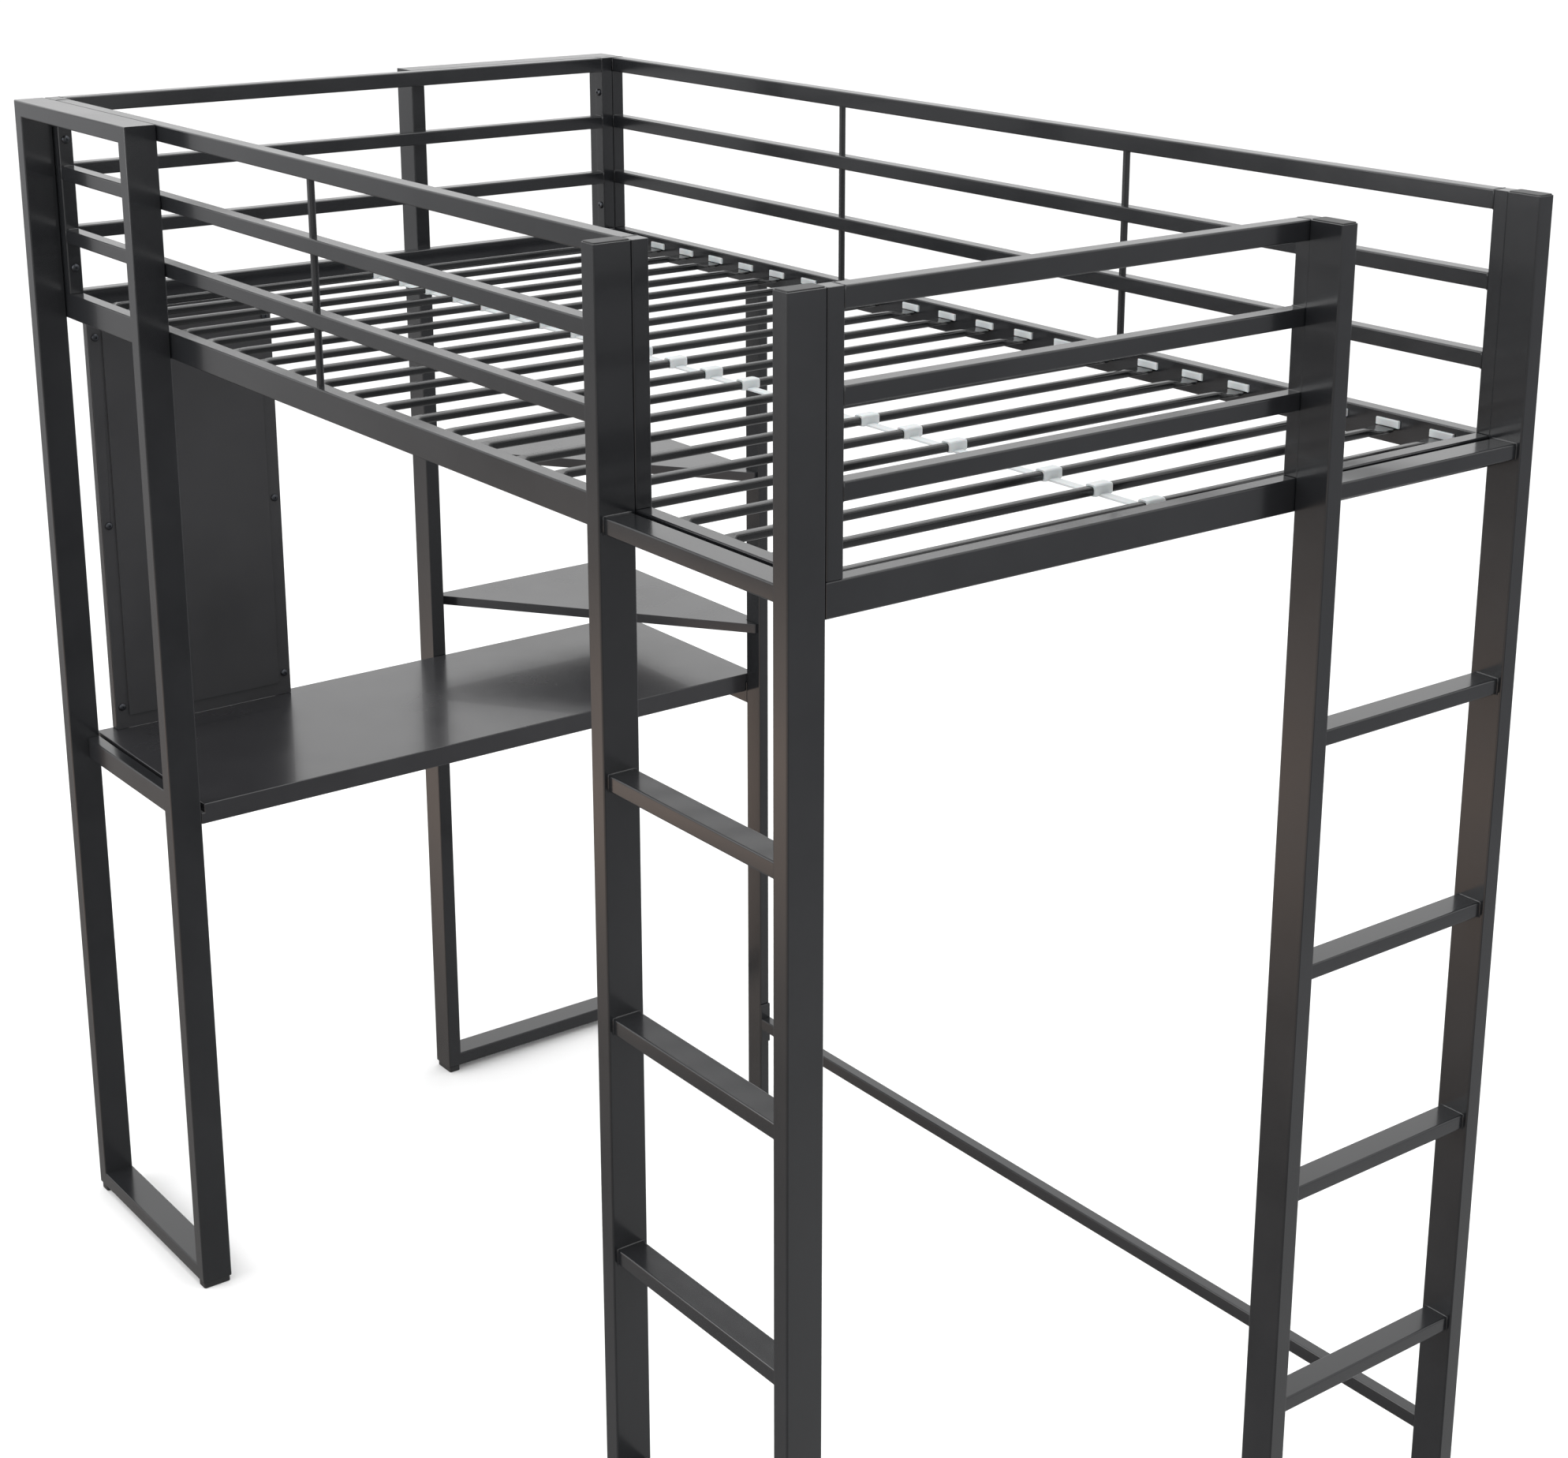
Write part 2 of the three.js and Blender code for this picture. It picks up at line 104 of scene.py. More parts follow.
class LoftBedSizes(bpy.types.PropertyGroup):
    """Sections and spacings of the bed's parts"""

    tube_corner: size_setting(
        "Tube corner radius", "Outside corner radius of the square tubes", 2.2 * MM
    )
    deck_rail_height: size_setting(
        "Deck rail height", "Height of the tube that carries the slats", 39.5 * MM
    )
    top_rail_height: size_setting(
        "Top rail height", "Height of the tube along the top of each guard panel", 24 * MM
    )
    mid_rail_height: size_setting(
        "Middle rail height", "Height of the two tubes between the deck rail and the top rail", 21 * MM
    )
    guard_gap: size_setting(
        "Guard gap", "Open space under the top rail and under each middle rail", 76 * MM
    )
    upright_width: size_setting("Upright width", "Width of the uprights of a guard panel", 22 * MM)
    spindle_diameter: size_setting(
        "Spindle diameter", "Diameter of the round spindles in the long guard panels", 10 * MM
    )
    front_spindle_place: size_setting(
        "Front spindle place", "Distance of the front panel's spindle from the desk end", 828 * MM
    )
    post_thickness: size_setting("Post thickness", "Thickness of a flat leg post", 25 * MM)
    closing_height: size_setting(
        "Closing tube height", "Height of the top and bottom tubes of the closed leg frames", 24.5 * MM
    )
    rung_height: size_setting("Rung height", "Height of a ladder's cross tube", 20 * MM)
    rung_depth: size_setting("Rung depth", "Depth of a ladder's cross tube", 36 * MM)
    rung_pitch: size_setting("Rung pitch", "Height from one cross tube to the next", 298.7 * MM)
    rung_count: bpy.props.IntProperty(
        name="Rung count",
        description="Cross tubes on each ladder, with the one at the deck",
        default=5,
        min=1,
    )
    stretcher_height: size_setting(
        "Stretcher height", "Height of the long tube low along the back", 21 * MM
    )
    slat_width: size_setting("Slat width", "Width of a slat's tube between its flat ends", 12 * MM)
    slat_blade_thickness: size_setting(
        "Slat end thickness", "Thickness of a slat's flat ends", 4 * MM
    )
    slat_cap_drop: size_setting(
        "Slat cap drop", "Height from the bottom of a slat's cap to the top of the deck rail", 18.5 * MM
    )
    slat_cap_width: size_setting(
        "Slat cap width", "Width of the white cap at each end of a slat", 37 * MM
    )
    slat_cap_height: size_setting(
        "Slat cap height", "Height of the white cap at each end of a slat", 10 * MM
    )
    weld_bead: size_setting(
        "Weld bead radius", "Radius of the weld beads where tubes meet", 1.3 * MM
    )


class LoftBedColours(bpy.types.PropertyGroup):
    """Base colours of the bed's finishes"""

    paint: colour_setting("Tube paint", "Gloss black powder coat of the steel tubes", "#17181A")
    sheet_paint: colour_setting(
        "Desk and shelf paint", "Gloss black paint of the desk top and the corner shelves", "#242426"
    )
    board_paint: colour_setting("Board paint", "Satin black paint of the back board", "#262628")
    slat_paint: colour_setting(
        "Slat paint", "Black paint of the slats, shinier than the tubes", "#0F1011"
    )
    clip_plastic: colour_setting(
        "Clip plastic", "White moulded plastic of the slat caps and saddles", "#B4B8B9"
    )
    foot_plastic: colour_setting(
        "Foot plastic", "Black moulded plastic of the feet and post caps", "#1A1B1C"
    )
    screw_steel: colour_setting("Screw steel", "Black zinc-plated steel of the bolts", "#4A4C50")
    floor: colour_setting("Floor", "Plain pale studio floor", "#F2F2F2")


# ---- Nodes ----


def add_node(tree, kind, inputs=None, **settings):
    """Adds one node, sets its settings, and links or fills its inputs."""
    node = tree.nodes.new(kind)
    for name, value in settings.items():
        setattr(node, name, value)
    for name, value in (inputs or {}).items():
        if isinstance(value, bpy.types.NodeSocket):
            tree.links.new(value, node.inputs[name])
        else:
            node.inputs[name].default_value = value
    return node


def finish_named(name):
    """An empty material with its output, ready for a shader."""
    material = bpy.data.materials.new(name)
    material.use_nodes = True
    material.node_tree.nodes.clear()
    return material, material.node_tree


def painted_steel(name, base, roughness, peel_depth, coat, speckle):
    """Powder-coated steel: an even pigment, with the faint orange peel the melted powder leaves.

    The peel is about 1.6 mm across; it is drawn at 9 mm so that it shows at this size.
    Fine dust settles in soft patches and takes a little of the gloss away.
    """
    material, tree = finish_named(name)
    place = add_node(tree, "ShaderNodeTexCoord")
    peel = add_node(
        tree,
        "ShaderNodeTexNoise",
        {"Vector": place.outputs["Object"], "Scale": 1 / (9 * MM), "Detail": 1.0, "Roughness": 0.5},
    )
    patches = add_node(
        tree,
        "ShaderNodeTexNoise",
        {"Vector": place.outputs["Object"], "Scale": 1 / (180 * MM), "Detail": 4.0, "Roughness": 0.6},
    )
    gloss = add_node(
        tree,
        "ShaderNodeMapRange",
        {
            "Value": patches.outputs["Fac"],
            "From Min": 0.3,
            "From Max": 0.7,
            "To Min": roughness * 0.85,
            "To Max": roughness * 1.2,
        },
    )
    pigment = add_node(
        tree,
        "ShaderNodeMapRange",
        {"Value": patches.outputs["Fac"], "From Min": 0.3, "From Max": 0.7, "To Min": 0.0, "To Max": speckle},
    )
    lighter = [min(1.0, channel * 1.5 + 0.004) for channel in base[:3]] + [1.0]
    mixed = add_node(
        tree,
        "ShaderNodeMixRGB",
        {"Fac": pigment.outputs["Result"], "Color1": tuple(base), "Color2": tuple(lighter)},
    )
    bump = add_node(
        tree, "ShaderNodeBump", {"Height": peel.outputs["Fac"], "Strength": 0.05, "Distance": peel_depth}
    )
    shader = add_node(
        tree,
        "ShaderNodeBsdfPrincipled",
        {
            "Base Color": mixed.outputs["Color"],
            "Roughness": gloss.outputs["Result"],
            "Normal": bump.outputs["Normal"],
            "Metallic": 0.0,
            "IOR": 1.5,
            "Coat Weight": coat,
            "Coat Roughness": 0.06,
        },
    )
    add_node(tree, "ShaderNodeOutputMaterial", {"Surface": shader.outputs["BSDF"]})
    return material


def moulded_plastic(name, base, roughness, grain, through):
    """Injection-moulded polypropylene: a fine spark-eroded grain from the mould, and a soft sheen."""
    material, tree = finish_named(name)
    place = add_node(tree, "ShaderNodeTexCoord")
    texture = add_node(
        tree,
        "ShaderNodeTexNoise",
        {"Vector": place.outputs["Object"], "Scale": 1 / grain, "Detail": 3.0, "Roughness": 0.55},
    )
    gloss = add_node(
        tree,
        "ShaderNodeMapRange",
        {
            "Value": texture.outputs["Fac"],
            "From Min": 0.35,
            "From Max": 0.65,
            "To Min": roughness * 0.9,
            "To Max": roughness * 1.1,
        },
    )
    bump = add_node(
        tree, "ShaderNodeBump", {"Height": texture.outputs["Fac"], "Strength": 0.25, "Distance": 0.05 * MM}
    )
    shader = add_node(
        tree,
        "ShaderNodeBsdfPrincipled",
        {
            "Base Color": tuple(base),
            "Roughness": gloss.outputs["Result"],
            "Normal": bump.outputs["Normal"],
            "IOR": 1.49,
            "Subsurface Weight": through,
            "Subsurface Scale": 2 * MM,
        },
    )
    add_node(tree, "ShaderNodeOutputMaterial", {"Surface": shader.outputs["BSDF"]})
    return material


def plated_steel(name, base, roughness):
    """Black zinc-plated steel: a dull metal with short scratches from the driver, about 2 mm long."""
    material, tree = finish_named(name)
    place = add_node(tree, "ShaderNodeTexCoord")
    stretched = add_node(
        tree, "ShaderNodeMapping", {"Vector": place.outputs["Object"], "Scale": (1.0, 1.0, 6.0)}
    )
    scratches = add_node(
        tree,
        "ShaderNodeTexNoise",
        {"Vector": stretched.outputs["Vector"], "Scale": 1 / (2 * MM), "Detail": 3.0, "Roughness": 0.6},
    )
    gloss = add_node(
        tree,
        "ShaderNodeMapRange",
        {
            "Value": scratches.outputs["Fac"],
            "From Min": 0.35,
            "From Max": 0.65,
            "To Min": roughness * 0.8,
            "To Max": roughness * 1.3,
        },
    )
    shader = add_node(
        tree,
        "ShaderNodeBsdfPrincipled",
        {"Base Color": tuple(base), "Roughness": gloss.outputs["Result"], "Metallic": 1.0},
    )
    add_node(tree, "ShaderNodeOutputMaterial", {"Surface": shader.outputs["BSDF"]})
    return material


def finish(name):
    """Each finish, made the first time that it is asked for."""
    found = bpy.data.materials.get(name)
    if found:
        return found
    colours = bpy.context.scene.loft_bed_colours
    if name == "gloss_powder_coat":
        return painted_steel(name, colours.paint, 0.2, 0.03 * MM, 0.15, 0.5)
    if name == "gloss_sheet_paint":
        return painted_steel(name, colours.sheet_paint, 0.24, 0.02 * MM, 0.15, 0.35)
    if name == "satin_board_paint":
        return painted_steel(name, colours.board_paint, 0.42, 0.03 * MM, 0.0, 0.4)
    if name == "satin_slat_paint":
        return painted_steel(name, colours.slat_paint, 0.17, 0.03 * MM, 0.1, 0.5)
    if name == "white_polypropylene":
        return moulded_plastic(name, colours.clip_plastic, 0.42, 0.8 * MM, 0.15)
    if name == "black_polypropylene":
        return moulded_plastic(name, colours.foot_plastic, 0.5, 0.8 * MM, 0.0)
    if name == "black_zinc_steel":
        return plated_steel(name, colours.screw_steel, 0.35)
    raise ValueError(f"no finish is named {name}")


# ---- Meshes ----


def rounded_section(width, height, radius, steps=4):
    """Points round a rectangle with rounded corners, anticlockwise, centred on nothing."""
    radius = min(radius, 0.49 * width, 0.49 * height)
    points = []
    quarters = ((1, 1, 0), (-1, 1, 90), (-1, -1, 180), (1, -1, 270))  # side of each axis, start angle
    for sx, sy, start in quarters:
        for i in range(steps + 1):
            angle = math.radians(start + 90 * i / steps)
            x = sx * (width / 2 - radius) + radius * math.cos(angle)
            y = sy * (height / 2 - radius) + radius * math.sin(angle)
            points.append((x, y))
    return points


def add_tube(bm, low, high, radius, axis=None):
    """A closed tube with rounded long edges from its lowest to its highest corner."""
    low, high = Vector(low), Vector(high)
    size = high - low
    if axis is None:
        axis = max(range(3), key=lambda i: size[i])
    u, v = [(1, 2), (2, 0), (0, 1)][axis]
    middle = (low + high) / 2
    section = rounded_section(size[u], size[v], radius)
    ease = min(0.6 * MM, 0.2 * size[axis])  # the cut end is barely broken
    loops = []
    stations = ((low[axis], -ease), (low[axis] + ease, 0.0), (high[axis] - ease, 0.0), (high[axis], -ease))
    for place, grow in stations:
        loop = []
        for a, b in section:
            point = Vector()
            point[axis] = place
            point[u] = middle[u] + a * (1 + 2 * grow / size[u])
            point[v] = middle[v] + b * (1 + 2 * grow / size[v])
            loop.append(bm.verts.new(point))
        loops.append(loop)
    count = len(section)
    for first, second in zip(loops, loops[1:]):
        for i in range(count):
            j = (i + 1) % count
            bm.faces.new((first[i], first[j], second[j], second[i]))
    bm.faces.new(reversed(loops[0]))
    bm.faces.new(loops[-1])


def add_ring(bm, low, high, across, height, radius, axis):
    """A closed frame of one tube with mitred corners, standing up and wide along axis."""
    depth_axis = 1 - axis
    low, high = Vector(low), Vector(high)
    depth = high[depth_axis] - low[depth_axis]
    middle = (low[depth_axis] + high[depth_axis]) / 2
    steps = 4
    corners = [
        (low[axis], low.z, 1, 1),
        (high[axis], low.z, -1, 1),
        (high[axis], high.z, -1, -1),
        (low[axis], high.z, 1, -1),
    ]
    radius_in = min(radius, 0.45 * min(across, height))
    profile = []
    for inward, side, start in ((1, 1, 0), (0, 1, 90), (0, -1, 180), (1, -1, 270)):
        for i in range(steps + 1):
            angle = math.radians(start + 90 * i / steps)
            base = 1.0 if inward else 0.0
            shift = radius_in * (math.cos(angle) - (1 if inward else -1))
            reach = side * (depth / 2 - radius_in) + radius_in * math.sin(angle)
            profile.append((base, shift, reach))
    loops = []
    for x, z, sx, sz in corners:
        loop = []
        for base, shift, reach in profile:
            point = Vector()
            point[axis] = x + sx * (base * across + shift)
            point.z = z + sz * (base * height + shift)
            point[depth_axis] = middle + reach
            loop.append(bm.verts.new(point))
        loops.append(loop)
    count = len(profile)
    for k in range(4):
        first, second = loops[k], loops[(k + 1) % 4]
        for i in range(count):
            j = (i + 1) % count
            bm.faces.new((first[i], first[j], second[j], second[i]))


def add_round(bm, centre, low_z, high_z, diameter, sides=24):
    """A round bar that stands up."""
    loops = []
    for z in (low_z, high_z):
        loops.append(
            [
                bm.verts.new(
                    (
                        centre[0] + diameter / 2 * math.cos(2 * math.pi * i / sides),
                        centre[1] + diameter / 2 * math.sin(2 * math.pi * i / sides),
                        z,
                    )
                )
                for i in range(sides)
            ]
        )
    for i in range(sides):
        j = (i + 1) % sides
        bm.faces.new((loops[0][i], loops[0][j], loops[1][j], loops[1][i]))
    bm.faces.new(reversed(loops[0]))
    bm.faces.new(loops[1])


def mesh_from(bm, name):
    """A plain mesh with outward faces."""
    bmesh.ops.recalc_face_normals(bm, faces=bm.faces)
    mesh = bpy.data.meshes.new(name)
    bm.to_mesh(mesh)
    bm.free()
    return mesh


def smoothed(mesh, degrees=35):
    """Smooth shading that leaves sharp edges and large flat faces as they are."""
    for polygon in mesh.polygons:
        polygon.use_smooth = True
    mesh.set_sharp_from_angle(angle=math.radians(degrees))
    name = mesh.name
    worker = bpy.data.objects.new("worker", mesh)
    bpy.context.scene.collection.objects.link(worker)
    weighted = worker.modifiers.new("flat faces first", "WEIGHTED_NORMAL")
    weighted.keep_sharp = True
    weighted.weight = 100
    finished = evaluated_mesh(worker, name)
    bpy.data.meshes.remove(mesh)
    return finished


def place_piece(name, mesh, material, nodes=()):
    """Puts a finished mesh in the scene as a piece of the object."""
    if not mesh.polygons:
        raise RuntimeError(f"{name} has no faces")
    mesh.materials.clear()
    mesh.materials.append(material)
    piece = bpy.data.objects.new(name, mesh)
    bpy.context.scene.collection.objects.link(piece)
    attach(piece, "root")
    if nodes:
        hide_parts(*nodes)
    return piece


def evaluated_mesh(worker, name):
    """The worker object's finished mesh. The worker and its modifiers are removed."""
    bpy.context.view_layer.update()
    graph = bpy.context.evaluated_depsgraph_get()
    mesh = bpy.data.meshes.new_from_object(worker.evaluated_get(graph))
    mesh.name = name
    worker.modifiers.clear()
    bpy.data.objects.remove(worker)
    return mesh


def merged_meshes(meshes, name):
    """Several meshes as one."""
    bm = bmesh.new()
    for mesh in meshes:
        bm.from_mesh(mesh)
    merged = bpy.data.meshes.new(name)
    bm.to_mesh(merged)
    bm.free()
    return merged


def softened_copy(node, radius, steps=2):
    """A CAD solid's shape with its sharp edges broken, as folded or pressed sheet has them."""
    bm = bmesh.new()
    bm.from_mesh(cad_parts[node].data)
    bmesh.ops.remove_doubles(bm, verts=bm.verts, dist=0.01 * MM)
    bmesh.ops.dissolve_limit(bm, angle_limit=math.radians(1), verts=bm.verts, edges=bm.edges)
    bmesh.ops.recalc_face_normals(bm, faces=bm.faces)
    mesh = bpy.data.meshes.new(node + "_worker")
    bm.to_mesh(mesh)
    bm.free()
    worker = bpy.data.objects.new(node + "_worker", mesh)
    bpy.context.scene.collection.objects.link(worker)
    bevel = worker.modifiers.new("edges", "BEVEL")
    bevel.width = radius
    bevel.segments = steps
    bevel.limit_method = "ANGLE"
    bevel.angle_limit = math.radians(30)
    return evaluated_mesh(worker, node + "_soft")


# ---- Geometry Nodes trees ----


def input_id(group, name):
    """The identifier of a group's input, which is what a modifier is set by."""
    for item in group.interface.items_tree:
        if item.item_type == "SOCKET" and item.in_out == "INPUT" and item.name == name:
            return item.identifier
    raise KeyError(name)


def new_tree(name, inputs):
    """A Geometry Nodes tree with Geometry in and out and the given named inputs."""
    tree = bpy.data.node_groups.new(name, "GeometryNodeTree")
    tree.interface.new_socket("Geometry", in_out="INPUT", socket_type="NodeSocketGeometry")
    for label, kind in inputs:
        tree.interface.new_socket(label, in_out="INPUT", socket_type=kind)
    tree.interface.new_socket("Geometry", in_out="OUTPUT", socket_type="NodeSocketGeometry")
    return tree, add_node(tree, "NodeGroupInput")


def end_tree(tree, geometry, material):
    """Realises what the tree made, gives it its material, and closes the tree."""
    real = add_node(tree, "GeometryNodeRealizeInstances", {"Geometry": geometry})
    dressed = add_node(
        tree, "GeometryNodeSetMaterial", {"Geometry": real.outputs["Geometry"], "Material": material}
    )
    add_node(tree, "NodeGroupOutput", {"Geometry": dressed.outputs["Geometry"]})
    return tree


def row_tree():
    """Copies of the object's own mesh, a fixed step apart, from a start."""
    found = bpy.data.node_groups.get("Row of copies")
    if found:
        return found
    tree, given = new_tree(
        "Row of copies",
        [
            ("Count", "NodeSocketInt"),
            ("Start", "NodeSocketVector"),
            ("Step", "NodeSocketVector"),
            ("Material", "NodeSocketMaterial"),
        ],
    )
    line = add_node(
        tree,
        "GeometryNodeMeshLine",
        {
            "Count": given.outputs["Count"],
            "Start Location": given.outputs["Start"],
            "Offset": given.outputs["Step"],
        },
        mode="OFFSET",
    )
    copies = add_node(
        tree,
        "GeometryNodeInstanceOnPoints",
        {"Points": line.outputs["Mesh"], "Instance": given.outputs["Geometry"]},
    )
    return end_tree(tree, copies.outputs["Instances"], given.outputs["Material"])


def bead_tree():
    """Weld beads: a thin, slightly uneven rope of metal along every given edge."""
    tree, given = new_tree(
        "Weld beads",
        [("Radius", "NodeSocketFloat"), ("Seed", "NodeSocketFloat"), ("Material", "NodeSocketMaterial")],
    )
    line = add_node(tree, "GeometryNodeMeshToCurve", {"Mesh": given.outputs["Geometry"]})
    even = add_node(
        tree, "GeometryNodeResampleCurve", {"Curve": line.outputs["Curve"], "Length": 4 * MM}, mode="LENGTH"
    )
    ring = add_node(
        tree,
        "GeometryNodeCurvePrimitiveCircle",
        {"Resolution": 6, "Radius": given.outputs["Radius"]},
    )
    rope = add_node(
        tree,
        "GeometryNodeCurveToMesh",
        {"Curve": even.outputs["Curve"], "Profile Curve": ring.outputs["Curve"], "Fill Caps": True},
    )
    ripple = add_node(
        tree,
        "ShaderNodeTexNoise",
        {"W": given.outputs["Seed"], "Scale": 1 / (5 * MM), "Detail": 0.0},
        noise_dimensions="4D",
    )
    swell = add_node(
        tree, "ShaderNodeMath", {0: ripple.outputs["Fac"], 1: 0.8 * MM, 2: -0.4 * MM}, operation="MULTIPLY_ADD"
    )
    normal = add_node(tree, "GeometryNodeInputNormal")
    push = add_node(
        tree,
        "ShaderNodeVectorMath",
        {0: normal.outputs["Normal"], "Scale": swell.outputs[0]},
        operation="SCALE",
    )
    uneven = add_node(
        tree,
        "GeometryNodeSetPosition",
        {"Geometry": rope.outputs["Mesh"], "Offset": push.outputs[0]},
    )
    return end_tree(tree, uneven.outputs["Geometry"], given.outputs["Material"])


def grown(mesh, tree, values, name):
    """Runs a Geometry Nodes tree on a mesh and returns the plain result."""
    worker = bpy.data.objects.new(name + "_worker", mesh)
    bpy.context.scene.collection.objects.link(worker)
    nodes = worker.modifiers.new("nodes", "NODES")
    nodes.node_group = tree
    for label, value in values.items():
        nodes[input_id(tree, label)] = value
    return evaluated_mesh(worker, name)


# ---- Pieces ----


def deck_top():
    """Height of the top of the deck rails."""
    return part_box("ladder_end_panel")[0].z + bpy.context.scene.loft_bed_sizes.deck_rail_height


def guard_heights(sizes, top):
    """Bottom and top of each guard rail, from the top one down."""
    rails = [(top - sizes.top_rail_height, top)]
    for _ in range(2):
        high = rails[-1][0] - sizes.guard_gap
        rails.append((high - sizes.mid_rail_height, high))
    return rails


def panel_bars(node, axis, guard_span, sizes):
    """Low and high corners of a guard panel's tubes: the deck rail, the guard rails and two uprights."""
    low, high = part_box(node)
    deck = low.z + sizes.deck_rail_height
    start, end = guard_span
    bars = []

    def bar(a0, z0, a1, z1):
        first, last = Vector(low), Vector(high)
        first[axis], first.z = a0, z0
        last[axis], last.z = a1, z1
        bars.append((first, last))

    bar(low[axis], low.z, high[axis], deck)
    width = sizes.upright_width
    bar(start, deck, start + width, high.z)
    bar(end - width, deck, end, high.z)
    for z0, z1 in guard_heights(sizes, high.z):
        bar(start + width, z0, end - width, z1)
    return bars


def weld_loop(points):
    """Edges of one closed weld line, as a list of corner points."""
    return [(points[i], points[(i + 1) % len(points)]) for i in range(len(points))]


def end_welds(low, high, axis):
    """The weld lines round both ends of a tube that runs along axis."""
    lines = []
    u, v = [(1, 2), (2, 0), (0, 1)][axis]
    for place in (low[axis], high[axis]):
        corners = []
        for a, b in ((low[u], low[v]), (high[u], low[v]), (high[u], high[v]), (low[u], high[v])):
            point = Vector()
            point[axis], point[u], point[v] = place, a, b
            corners.append(point)
        lines += weld_loop(corners)
    return lines


def welds_mesh(lines, name):
    """The weld lines as loose edges, joined where they meet."""
    bm = bmesh.new()
    for first, last in lines:
        bm.edges.new((bm.verts.new(first), bm.verts.new(last)))
    bmesh.ops.remove_doubles(bm, verts=bm.verts, dist=0.05 * MM)
    mesh = bpy.data.meshes.new(name)
    bm.to_mesh(mesh)
    bm.free()
    return mesh


PANEL_AXES = {
    "front_guard_panel": 0,
    "back_guard_panel": 0,
    "desk_end_panel": 1,
    "ladder_end_panel": 1,
}


def guard_span(node):
    """Where a panel's guard rails start and end along it."""
    low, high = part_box(node)
    axis = PANEL_AXES[node]
    start, end = low[axis], high[axis]
    if node == "front_guard_panel":
        ladder_low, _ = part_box("front_ladder")
        end = ladder_low.x + bpy.context.scene.loft_bed_sizes.post_thickness
    if node == "ladder_end_panel":
        ladder_low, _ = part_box("end_ladder")
        end = ladder_low.y + bpy.context.scene.loft_bed_sizes.post_thickness
    return start, end


def spindle_places(node, sizes):
    """Where the round spindles stand along a long panel."""
    low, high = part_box(node)
    if node == "front_guard_panel":
        return [low.x + sizes.front_spindle_place]
    if node == "back_guard_panel":
        third = (high.x - low.x - 2 * sizes.upright_width) / 3
        middle = (low.x + high.x) / 2
        return [middle - third / 2, middle + third / 2]
    return []


class LOFTBED_OT_guard_panels(bpy.types.Operator):
    """Builds the four welded guard panels from rounded square tube, with their spindles"""

    bl_idname = "loftbed.guard_panels"
    bl_label = "Guard panels"

    def execute(self, context):
        sizes = context.scene.loft_bed_sizes
        sink = 0.5 * MM  # how far a spindle runs into the rails
        for node, axis in PANEL_AXES.items():
            low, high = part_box(node)
            bm = bmesh.new()
            for first, last in panel_bars(node, axis, guard_span(node), sizes):
                add_tube(bm, first, last, sizes.tube_corner)
            rails = guard_heights(sizes, high.z)
            stops = [low.z + sizes.deck_rail_height]
            stops += [z for rail in reversed(rails) for z in rail]
            across = (low[1 - axis] + high[1 - axis]) / 2
            for place in spindle_places(node, sizes):
                for bottom, top in zip(stops[0::2], stops[1::2]):
                    add_round(bm, (place, across), bottom - sink, top + sink, sizes.spindle_diameter)
            mesh = smoothed(mesh_from(bm, node + "_tubes"))
            place_piece(node + "_tubes", mesh, finish("gloss_powder_coat"), [node])
        return {"FINISHED"}


class LOFTBED_OT_leg_frames(bpy.types.Operator):
    """Builds the two closed leg frames at the desk, each one flat tube with mitred corners"""

    bl_idname = "loftbed.leg_frames"
    bl_label = "Leg frames"

    def execute(self, context):
        sizes = context.scene.loft_bed_sizes
        for node, axis in (("front_desk_frame", 0), ("corner_desk_frame", 1)):
            low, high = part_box(node)
            bm = bmesh.new()
            add_ring(bm, low, high, sizes.post_thickness, sizes.closing_height, sizes.tube_corner, axis)
            mesh = smoothed(mesh_from(bm, node + "_tube"))
            place_piece(node + "_tube", mesh, finish("gloss_powder_coat"), [node])
        return {"FINISHED"}


class LOFTBED_OT_ladders(bpy.types.Operator):
    """Builds the two ladders: two flat posts each, with a row of cross tubes between them"""

    bl_idname = "loftbed.ladders"
    bl_label = "Ladders"

    def execute(self, context):
        sizes = context.scene.loft_bed_sizes
        for node, axis in (("front_ladder", 0), ("end_ladder", 1)):
            low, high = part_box(node)
            bm = bmesh.new()
            for start in (low[axis], high[axis] - sizes.post_thickness):
                first, last = Vector(low), Vector(high)
                first[axis], last[axis] = start, start + sizes.post_thickness
                add_tube(bm, first, last, sizes.tube_corner, axis=2)
            posts = mesh_from(bm, node + "_posts")
            first, last = self.top_rung(node, axis, sizes)
            seed = bmesh.new()
            add_tube(seed, first, last, sizes.tube_corner, axis=axis)
            rungs = grown(
                mesh_from(seed, node + "_rung"),
                row_tree(),
                {
                    "Count": sizes.rung_count,
                    "Start": (0.0, 0.0, 0.0),
                    "Step": (0.0, 0.0, -sizes.rung_pitch),
                    "Material": finish("gloss_powder_coat"),
                },
                node + "_rungs",
            )
            mesh = smoothed(merged_meshes([posts, rungs], node + "_tubes"))
            place_piece(node + "_tubes", mesh, finish("gloss_powder_coat"), [node])
        return {"FINISHED"}

    @staticmethod
    def top_rung(node, axis, sizes):
        """Low and high corners of the cross tube at the deck."""
        low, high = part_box(node)
        step_top = deck_top() - 1 * MM
        depth_axis = 1 - axis
        inset = (high[depth_axis] - low[depth_axis] - sizes.rung_depth) / 2
        first, last = Vector(low), Vector(high)
        first[axis] += sizes.post_thickness
        last[axis] -= sizes.post_thickness
        first[depth_axis] += inset
        last[depth_axis] -= inset
        first.z, last.z = step_top - sizes.rung_height, step_top
        return first, last


